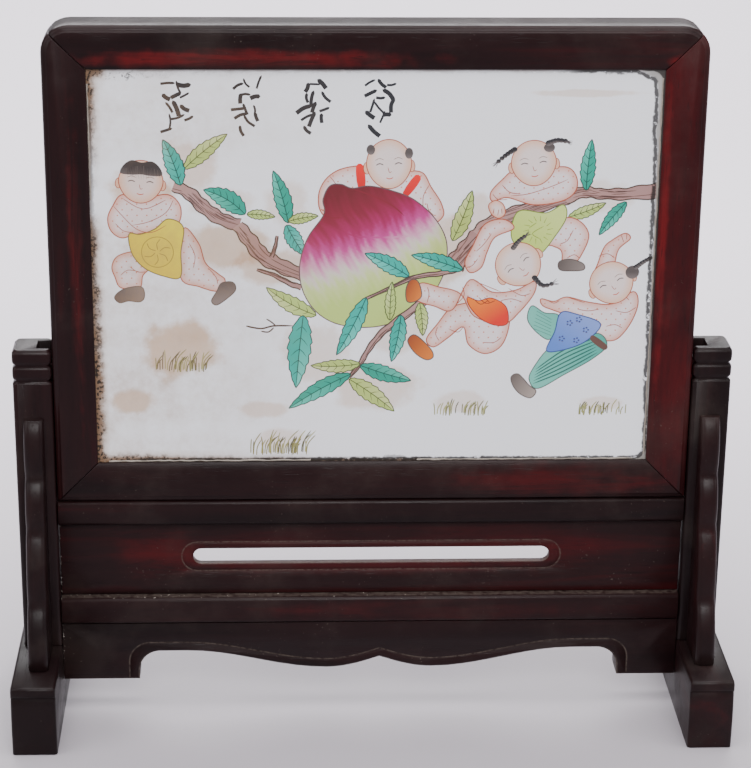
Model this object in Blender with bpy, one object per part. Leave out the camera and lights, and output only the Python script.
# Table screen: a painted porcelain plaque in a mitred hardwood frame, which stands by its own
# weight in the grooves of two posts on a low base.
# Metres, +Z up. X runs along the width, the front looks towards -Y, and the origin is on the
# ground under the middle of the object.
import math

import bpy
import bmesh

# Fits
JOINT_GAP = 0.0003              # left between two pieces that touch
WELD_DISTANCE = 0.00001         # points closer than this are one point
CUT_PAST = 0.002                # how far a cutter runs past the face that it cuts

# Frame of the plaque
FRAME_WIDTH = 0.350
FRAME_HEIGHT = 0.2672
FRAME_THICKNESS = 0.0240
MEMBER_WIDTH = 0.0232
FRAME_CORNER_RADIUS = 0.0145    # outer corners at the top, the bottom ones are square
FRAME_FRONT_ROUND = 0.0030      # rounded-over outer edge of the front
FRAME_FRONT_QUIRK = 0.0004      # small step between that round and the flat face
FRAME_BACK_CHAMFER = 0.0010
LIP_WIDTH = 0.0045              # sloping border beside the plaque
LIP_DROP = 0.0012
PLAQUE_RECESS = 0.0025
REBATE_WIDTH = 0.0050
PLAQUE_THICKNESS = 0.0050
PLAQUE_EDGE_ROUND = 0.0006
BACKING_THICKNESS = 0.0130
BACKING_CHAMFER = 0.0012

# Posts, with the groove that holds the frame
POST_WIDTH = 0.0215
POST_DEPTH = 0.0230
POST_HEIGHT = 0.1775
POST_EDGE_RADIUS = 0.0022
POST_RING_HEIGHT = 0.0088       # two rounded rings are turned into the top of the post
POST_RING_COUNT = 2
POST_NOTCH_DEPTH = 0.0016
GROOVE_DEPTH = 0.0083
GROOVE_WIDTH = 0.0120
TONGUE_CLEARANCE = 0.0003       # on each side of the stile's tongue in the groove
TONGUE_TOP_DROP = 0.0120        # tongue's end below the top of the post
TONGUE_START = 0.0030           # tongue's lower end above the bottom of the frame
TONGUE_ROOT = 0.0012            # tongue's root inside the stile

# Feet
FOOT_WIDTH = 0.0247
FOOT_LENGTH = 0.1250
FOOT_HEIGHT = 0.0416
FOOT_RING_HEIGHT = 0.0066
FOOT_NOTCH_DEPTH = 0.0016
FOOT_CROWN = 0.0010             # swell of the foot's end faces
FOOT_EDGE_RADIUS = 0.0014

# Brackets that brace each post, before and behind
BRACKET_HEIGHT = 0.1385
BRACKET_REACH = 0.0315
BRACKET_THICKNESS = 0.0110
BRACKET_TOP_LEDGE = 0.0035
BRACKET_EDGE_RADIUS = 0.0032
BRACKET_LOBE_SWELL = 0.0036

# Rails, panel and apron between the posts
APRON_BOTTOM = 0.0195           # height of the apron's ends above the ground
APRON_HEIGHT = 0.0350
APRON_THICKNESS = 0.0190
APRON_EDGE_SOFTENING = 0.0009
APRON_CUT_SPAN = 0.2736         # width of the shaped cut under the apron
APRON_CUT_SHIFT = 0.0048        # the cut sits a little to the right of the middle
APRON_CUSP_RISE = 0.0128        # middle point above the apron's ends
APRON_VALLEY_RISE = 0.0062
APRON_VALLEY_OUT = 0.0300       # valley's distance from the middle point
APRON_CREST_RISE = 0.0174
APRON_CREST_OUT = 0.1100
APRON_CUT_CORNER = 0.0120
LOWER_RAIL_HEIGHT = 0.0160
PANEL_HEIGHT = 0.0442
PANEL_THICKNESS = 0.0050
PANEL_RECESS = 0.0060           # behind the front of the rails
UPPER_RAIL_HEIGHT = 0.0146
RAIL_DEPTH = 0.0224
RAIL_EDGE_RADIUS = 0.0026

# Slot pierced through the panel and the line cut around it
SLOT_LENGTH = 0.2012
SLOT_HEIGHT = 0.0094
SLOT_DROP = 0.0212              # slot's centre line below the top of the panel
SLOT_LINE_LENGTH = 0.2140
SLOT_LINE_HEIGHT = 0.0176
LINE_WIDTH = 0.0012
LINE_DEPTH = 0.0006
BORDER_WIDTH = 0.0056           # from the apron's lower edge to the line cut in its face

# Fineness of the curved shapes
ARC_STEPS = 4
RING_STEPS = 6
LOBE_STEPS = 9
WAVE_STEPS = 9
SLOT_STEPS = 10

# Places worked out from the sizes
apron_top = APRON_BOTTOM + APRON_HEIGHT
lower_rail_bottom = apron_top + JOINT_GAP
lower_rail_top = lower_rail_bottom + LOWER_RAIL_HEIGHT
panel_bottom = lower_rail_top + JOINT_GAP
panel_top = panel_bottom + PANEL_HEIGHT
upper_rail_bottom = panel_top + JOINT_GAP
upper_rail_top = upper_rail_bottom + UPPER_RAIL_HEIGHT
frame_bottom = upper_rail_top + JOINT_GAP
frame_top = frame_bottom + FRAME_HEIGHT
frame_front = -FRAME_THICKNESS / 2
frame_half = FRAME_WIDTH / 2
post_inner = frame_half + JOINT_GAP
post_middle = post_inner + POST_WIDTH / 2
post_bottom = FOOT_HEIGHT + JOINT_GAP
post_top = post_bottom + POST_HEIGHT
span_half = post_inner - JOINT_GAP
rail_front = -RAIL_DEPTH / 2
panel_front = rail_front + PANEL_RECESS


def clear_scene():
    for old in list(bpy.data.objects):
        bpy.data.objects.remove(old, do_unlink=True)


def make_collection(name):
    collection = bpy.data.collections.new(name)
    bpy.context.scene.collection.children.link(collection)
    return collection


clear_scene()
parts = make_collection("table_screen")
cutters = make_collection("cutters")


def make_material(name, color, roughness):
    material = bpy.data.materials.new(name)
    material.use_nodes = True
    shader = material.node_tree.nodes["Principled BSDF"]
    shader.inputs["Base Color"].default_value = (*color, 1)
    shader.inputs["Roughness"].default_value = roughness
    shader.inputs["Metallic"].default_value = 0
    return material


def hardwood(name):
    return make_material(name + "_hardwood", (0.035, 0.012, 0.011), 0.38)


def porcelain(name):
    return make_material(name + "_porcelain", (0.72, 0.73, 0.74), 0.12)


# Helpers for meshes

def finish(name, shape, material=None):
    """Turn a bmesh into a named object, smooth where its faces meet softly."""
    bmesh.ops.remove_doubles(shape, verts=shape.verts, dist=WELD_DISTANCE)
    bmesh.ops.recalc_face_normals(shape, faces=shape.faces)
    mesh = bpy.data.meshes.new(name)
    shape.to_mesh(mesh)
    shape.free()
    piece = bpy.data.objects.new(name, mesh)
    if material is None:
        cutters.objects.link(piece)
        piece.hide_render = True
        piece.display_type = "WIRE"
    else:
        parts.objects.link(piece)
        mesh.materials.append(material)
        mesh.shade_smooth()
        mesh.set_sharp_from_angle(angle=math.radians(35))
    return piece


def loft(name, rings, material=None, closed=False):
    """A solid through rings that list their points in the same order, capped unless it closes on itself."""
    shape = bmesh.new()
    loops = [[shape.verts.new(point) for point in ring] for ring in rings]
    pairs = list(zip(loops, loops[1:]))
    if closed:
        pairs.append((loops[-1], loops[0]))
    else:
        shape.faces.new(list(reversed(loops[0])))
        shape.faces.new(loops[-1])
    for near, far in pairs:
        for index in range(len(near)):
            after = (index + 1) % len(near)
            shape.faces.new((near[index], near[after], far[after], far[index]))
    return finish(name, shape, material)


def block(name, low, high, material=None, chamfer=0):
    """A box between two corners, its edges chamfered where a size is given."""
    shape = bmesh.new()
    bmesh.ops.create_cube(shape, size=1)
    middle = [(a + b) / 2 for a, b in zip(low, high)]
    size = [b - a for a, b in zip(low, high)]
    bmesh.ops.scale(shape, vec=size, verts=shape.verts)
    bmesh.ops.translate(shape, vec=middle, verts=shape.verts)
    if chamfer:
        bmesh.ops.bevel(shape, geom=shape.edges, offset=chamfer, segments=2, profile=0.5, affect="EDGES")
    return finish(name, shape, material)


def boolean(piece, tool, operation):
    change = piece.modifiers.new(operation.lower() + "_" + tool.name, "BOOLEAN")
    change.operation = operation
    change.solver = "EXACT"
    change.object = tool


def arc(middle, radius, start, end, steps=ARC_STEPS):
    """Points of an arc in a plane, with its angles in degrees."""
    points = []
    for step in range(steps + 1):
        angle = math.radians(start + (end - start) * step / steps)
        points.append((middle[0] + radius * math.cos(angle), middle[1] + radius * math.sin(angle)))
    return points


def rounded_rectangle(low, high, radius, steps=ARC_STEPS):
    """Outline of a rectangle with round corners."""
    points = []
    corners = ((high, high, 0), (low, high, 90), (low, low, 180), (high, low, 270))
    for along, across, start in corners:
        sign_x = 1 if along is high else -1
        sign_y = 1 if across is high else -1
        middle = (along[0] - sign_x * radius, across[1] - sign_y * radius)
        points += arc(middle, radius, start, start + 90, steps)
    return points


def ring_profile(bottom, height, depth, steps=RING_STEPS):
    """Heights and insets over one rounded ring, deepest at its two ends."""
    levels = []
    for step in range(steps + 1):
        share = step / steps
        swell = (1 - abs(2 * share - 1) ** 3) ** (1 / 3)
        levels.append((bottom + height * share, depth * (1 - swell)))
    return levels


# Frame

def frame_section():
    """Section of a frame member, as pairs of distance from the outer edge and depth from the front."""
    round_over = arc((FRAME_FRONT_ROUND, FRAME_FRONT_ROUND + FRAME_FRONT_QUIRK), FRAME_FRONT_ROUND, 180, 270)
    rebate_edge = MEMBER_WIDTH - REBATE_WIDTH
    section = [(FRAME_BACK_CHAMFER, FRAME_THICKNESS), (0, FRAME_THICKNESS - FRAME_BACK_CHAMFER)]
    section += round_over
    section += [(FRAME_FRONT_ROUND + FRAME_FRONT_QUIRK / 2, 0)]
    section += [(MEMBER_WIDTH - LIP_WIDTH, 0)]
    section += [(MEMBER_WIDTH, LIP_DROP)]
    section += [(MEMBER_WIDTH, PLAQUE_RECESS)]
    section += [(rebate_edge, PLAQUE_RECESS)]
    section += [(rebate_edge, FRAME_THICKNESS)]
    return section


def corner_rings(middle_x, middle_z, side, start, end):
    """Rings of the frame's section around half of a rounded top corner, at least one at each angle."""
    rings = []
    for step in range(ARC_STEPS + 1):
        angle = math.radians(start + (end - start) * step / ARC_STEPS)
        ring = []
        for inset, depth in frame_section():
            radius = FRAME_CORNER_RADIUS - inset
            if radius > 0:
                x = middle_x + radius * math.cos(angle)
                z = middle_z + radius * math.sin(angle)
            else:
                x = middle_x + side * radius
                z = middle_z + radius
            ring.append((x, frame_front + depth, z))
        rings.append(ring)
    return rings


def square_ring(side, half_width, level):
    """Ring of the frame's section in the mitre of a square bottom corner."""
    return [(side * (half_width - inset), frame_front + depth, level + inset) for inset, depth in frame_section()]


def frame_stile(name, side):
    """Upright member with its tongue, which slides in the groove of the post."""
    shorter = JOINT_GAP / math.sqrt(2)
    middle_x = side * (frame_half - FRAME_CORNER_RADIUS)
    middle_z = frame_top - shorter - FRAME_CORNER_RADIUS
    start = 0 if side > 0 else 180
    end = 45 if side > 0 else 135
    rings = [square_ring(side, frame_half, frame_bottom + shorter)]
    rings += corner_rings(middle_x, middle_z, side, start, end)
    stile = loft(name, rings, hardwood(name))
    tongue_half = GROOVE_WIDTH / 2 - TONGUE_CLEARANCE
    near = side * (frame_half - TONGUE_ROOT)
    far = side * (post_inner + GROOVE_DEPTH - TONGUE_CLEARANCE)
    low = (min(near, far), -tongue_half, frame_bottom + TONGUE_START)
    high = (max(near, far), tongue_half, post_top - TONGUE_TOP_DROP)
    boolean(stile, block(name + "_tongue", low, high), "UNION")
    return stile


def frame_top_rail(name):
    shorter = JOINT_GAP / math.sqrt(2)
    middle_x = frame_half - shorter - FRAME_CORNER_RADIUS
    middle_z = frame_top - FRAME_CORNER_RADIUS
    rings = corner_rings(-middle_x, middle_z, -1, 135, 90)
    rings += corner_rings(middle_x, middle_z, 1, 90, 45)
    return loft(name, rings, hardwood(name))


def frame_bottom_rail(name):
    shorter = JOINT_GAP / math.sqrt(2)
    rings = [square_ring(side, frame_half - shorter, frame_bottom) for side in (-1, 1)]
    return loft(name, rings, hardwood(name))


def rebate_board(name, front, thickness, edge, material):
    """A board that fills the rebate of the frame, with the joint gap around it."""
    inset = MEMBER_WIDTH - REBATE_WIDTH + JOINT_GAP
    low = (inset - frame_half, front, frame_bottom + inset)
    high = (frame_half - inset, front + thickness, frame_top - inset)
    return block(name, low, high, material, edge)


# Stand

def foot(name, side):
    """A foot with a rounded ring along the top edge of each end and gently swelling end faces."""
    ring_bottom = FOOT_HEIGHT - FOOT_RING_HEIGHT
    face = [(0, FOOT_EDGE_RADIUS), (FOOT_EDGE_RADIUS / 3, FOOT_EDGE_RADIUS / 3)]
    for step in range(1, RING_STEPS):
        share = step / RING_STEPS
        face.append((ring_bottom * share, FOOT_CROWN * (2 * share - 1) ** 2))
    face.append((ring_bottom - FOOT_NOTCH_DEPTH / 2, FOOT_CROWN))
    face += ring_profile(ring_bottom, FOOT_RING_HEIGHT, FOOT_NOTCH_DEPTH)
    half_length = FOOT_LENGTH / 2
    layers = ((0, FOOT_EDGE_RADIUS), (FOOT_EDGE_RADIUS / 3, FOOT_EDGE_RADIUS / 3), (FOOT_EDGE_RADIUS, 0))
    layers += tuple((FOOT_WIDTH - across, inset) for across, inset in reversed(layers))
    rings = []
    for across, inset in layers:
        squeeze = (FOOT_HEIGHT - inset) / FOOT_HEIGHT
        ring = [(-half_length + depth + inset, height * squeeze) for height, depth in face]
        ring += [(half_length - depth - inset, height * squeeze) for height, depth in reversed(face)]
        rings.append([(side * (post_inner + across), y, z) for y, z in ring])
    return loft(name, rings, hardwood(name))


def post(name, side):
    """A post with rounded rings at its top and a groove in its inner face."""
    rings_height = POST_RING_COUNT * POST_RING_HEIGHT
    levels = [(post_bottom, 0), (post_top - rings_height - POST_NOTCH_DEPTH, 0)]
    for index in range(POST_RING_COUNT):
        bottom = post_top - rings_height + index * POST_RING_HEIGHT
        levels += ring_profile(bottom, POST_RING_HEIGHT, POST_NOTCH_DEPTH)
    rings = []
    for level, inset in levels:
        low = (-POST_WIDTH / 2 + inset, -POST_DEPTH / 2 + inset)
        high = (POST_WIDTH / 2 - inset, POST_DEPTH / 2 - inset)
        outline = rounded_rectangle(low, high, POST_EDGE_RADIUS, 3)
        rings.append([(side * post_middle + x, y, level) for x, y in outline])
    piece = loft(name, rings, hardwood(name))
    near = side * (post_inner - CUT_PAST)
    far = side * (post_inner + GROOVE_DEPTH)
    low = (min(near, far), -GROOVE_WIDTH / 2, frame_bottom)
    high = (max(near, far), GROOVE_WIDTH / 2, post_top + CUT_PAST)
    boolean(piece, block(name + "_groove", low, high), "DIFFERENCE")
    return piece


# Lobes of a bracket from the top down: where each starts and how far it stands out there,
# as shares of the bracket's height and of its reach past the top ledge
BRACKET_LOBES = ((0.000, 0.00), (0.235, 0.14), (0.440, 0.34), (0.735, 0.66), (1.000, 1.00))


def bracket_edge():
    """The scalloped edge, from the top down, as pairs of height and distance from the post."""
    top = post_bottom + BRACKET_HEIGHT
    spread = BRACKET_REACH - BRACKET_TOP_LEDGE
    points = []
    for start, end in zip(BRACKET_LOBES, BRACKET_LOBES[1:]):
        for step in range(LOBE_STEPS):
            share = step / LOBE_STEPS
            down = start[0] + (end[0] - start[0]) * share
            out = start[1] + (end[1] - start[1]) * share
            swell = BRACKET_LOBE_SWELL * math.sin(math.pi * share) ** 0.7
            points.append((top - BRACKET_HEIGHT * down, BRACKET_TOP_LEDGE + spread * out + swell))
    points.append((post_bottom, BRACKET_REACH))
    return points


def bracket(name, side, face):
    """Scalloped bracket between a foot and its post, with a rounded outer edge."""
    back = POST_DEPTH / 2 + JOINT_GAP
    half = BRACKET_THICKNESS / 2
    layers = []
    for step in range(ARC_STEPS):
        angle = math.pi / 2 * step / ARC_STEPS
        inset = BRACKET_EDGE_RADIUS * (1 - math.sin(angle))
        layers.append((half - BRACKET_EDGE_RADIUS * (1 - math.cos(angle)), inset))
    layers.append((half - BRACKET_EDGE_RADIUS, 0))
    layers += [(-across, inset) for across, inset in reversed(layers)]
    top = post_bottom + BRACKET_HEIGHT
    rings = []
    for across, inset in layers:
        ring = [(top, 0)]
        ring += [(z, out - min(inset, out - WELD_DISTANCE * 10)) for z, out in bracket_edge()]
        ring.append((post_bottom, 0))
        x = side * post_middle + across
        rings.append([(x, face * (back + out), z) for z, out in ring])
    return loft(name, rings, hardwood(name))


def rail(name, bottom, height):
    """A cross rail with round edges between the two posts."""
    low = (-RAIL_DEPTH / 2, bottom)
    high = (RAIL_DEPTH / 2, bottom + height)
    outline = rounded_rectangle(low, high, RAIL_EDGE_RADIUS)
    rings = [[(x, y, z) for y, z in outline] for x in (-span_half, span_half)]
    return loft(name, rings, hardwood(name))


def round_ended(length, height, middle_z):
    """Closed outline with two half-circle ends, with each point's outward direction."""
    radius = height / 2
    straight = length / 2 - radius
    outline = []
    for side, start in ((1, -90), (-1, 90)):
        for step in range(SLOT_STEPS + 1):
            angle = math.radians(start + 180 * step / SLOT_STEPS)
            out = (math.cos(angle), math.sin(angle))
            outline.append(((side * straight + radius * out[0], middle_z + radius * out[1]), out))
    return outline


def line_cutter(name, path, surface, closed):
    """A V-shaped cutter along a path in a front face, each point given with its sideways direction."""
    rings = []
    for (x, z), (out_x, out_z) in path:
        half = LINE_WIDTH / 2 * (1 + CUT_PAST / LINE_DEPTH)
        ring = [(x + out_x * half, surface - CUT_PAST, z + out_z * half)]
        ring.append((x - out_x * half, surface - CUT_PAST, z - out_z * half))
        ring.append((x, surface + LINE_DEPTH, z))
        rings.append(ring)
    return loft(name, rings, None, closed)


def panel(name):
    """Thin panel with a round-ended slot and a line cut around it."""
    low = (-span_half, panel_front, panel_bottom)
    high = (span_half, panel_front + PANEL_THICKNESS, panel_top)
    piece = block(name, low, high, hardwood(name))
    middle_z = panel_top - SLOT_DROP
    slot = round_ended(SLOT_LENGTH, SLOT_HEIGHT, middle_z)
    depths = (panel_front - CUT_PAST, panel_front + PANEL_THICKNESS + CUT_PAST)
    rings = [[(x, y, z) for (x, z), _ in slot] for y in depths]
    boolean(piece, loft(name + "_slot", rings), "DIFFERENCE")
    line = round_ended(SLOT_LINE_LENGTH, SLOT_LINE_HEIGHT, middle_z)
    boolean(piece, line_cutter(name + "_line", line, panel_front, True), "DIFFERENCE")
    return piece


def apron_cut(border):
    """Right half of the cut under the apron, from its middle outwards, grown into the wood by a border."""
    cusp = APRON_BOTTOM + APRON_CUSP_RISE + border
    valley = APRON_BOTTOM + APRON_VALLEY_RISE + border
    crest = APRON_BOTTOM + APRON_CREST_RISE + border
    edge = APRON_CUT_SPAN / 2 + border
    corner = APRON_CUT_CORNER
    points = []
    for step in range(WAVE_STEPS):
        share = step / WAVE_STEPS
        points.append((APRON_VALLEY_OUT * share, valley + (cusp - valley) * (1 - math.sin(math.pi / 2 * share))))
    for step in range(WAVE_STEPS):
        share = step / WAVE_STEPS
        x = APRON_VALLEY_OUT + (APRON_CREST_OUT - APRON_VALLEY_OUT) * share
        points.append((x, valley + (crest - valley) * (1 - math.cos(math.pi * share)) / 2))
    points.append((APRON_CREST_OUT, crest))
    points += arc((edge - corner, crest - corner), corner, 90, 0, WAVE_STEPS)
    return points


def apron(name):
    """Apron with a shaped lower edge and a line cut beside it."""
    half = APRON_THICKNESS / 2
    soft = APRON_EDGE_SOFTENING
    rings = []
    for y, border in ((-half, soft), (soft - half, 0), (half - soft, 0), (half, soft)):
        right = apron_cut(border)
        right.append((right[-1][0], APRON_BOTTOM + border))
        outline = [(APRON_CUT_SHIFT + x, z) for x, z in right]
        outline += [(span_half, APRON_BOTTOM + border), (span_half, apron_top)]
        outline += [(-span_half, apron_top), (-span_half, APRON_BOTTOM + border)]
        outline += [(APRON_CUT_SHIFT - x, z) for x, z in reversed(right[1:])]
        rings.append([(x, y, z) for x, z in outline])
    piece = loft(name, rings, hardwood(name))
    half_line = apron_cut(BORDER_WIDTH)
    half_line.append((half_line[-1][0], APRON_BOTTOM - CUT_PAST))
    line = [(APRON_CUT_SHIFT - x, z) for x, z in reversed(half_line[1:])]
    line += [(APRON_CUT_SHIFT + x, z) for x, z in half_line]
    path = []
    for index, point in enumerate(line):
        before = line[max(index - 1, 0)]
        after = line[min(index + 1, len(line) - 1)]
        run = math.dist(before, after)
        path.append((point, ((before[1] - after[1]) / run, (after[0] - before[0]) / run)))
    boolean(piece, line_cutter(name + "_line", path, -half, False), "DIFFERENCE")
    return piece


# The whole object
plaque_front = frame_front + PLAQUE_RECESS + JOINT_GAP
backing_front = plaque_front + PLAQUE_THICKNESS + JOINT_GAP
rebate_board("porcelain_plaque", plaque_front, PLAQUE_THICKNESS, PLAQUE_EDGE_ROUND, porcelain("porcelain_plaque"))
rebate_board("back_board", backing_front, BACKING_THICKNESS, BACKING_CHAMFER, hardwood("back_board"))
frame_top_rail("frame_top_rail")
frame_bottom_rail("frame_bottom_rail")
for side_name, side_sign in (("left", -1), ("right", 1)):
    frame_stile("frame_" + side_name + "_stile", side_sign)
    post(side_name + "_post", side_sign)
    foot(side_name + "_foot", side_sign)
    for face_name, face_sign in (("front", -1), ("back", 1)):
        bracket(side_name + "_" + face_name + "_bracket", side_sign, face_sign)
rail("upper_rail", upper_rail_bottom, UPPER_RAIL_HEIGHT)
rail("lower_rail", lower_rail_bottom, LOWER_RAIL_HEIGHT)
panel("slotted_panel")
apron("apron")
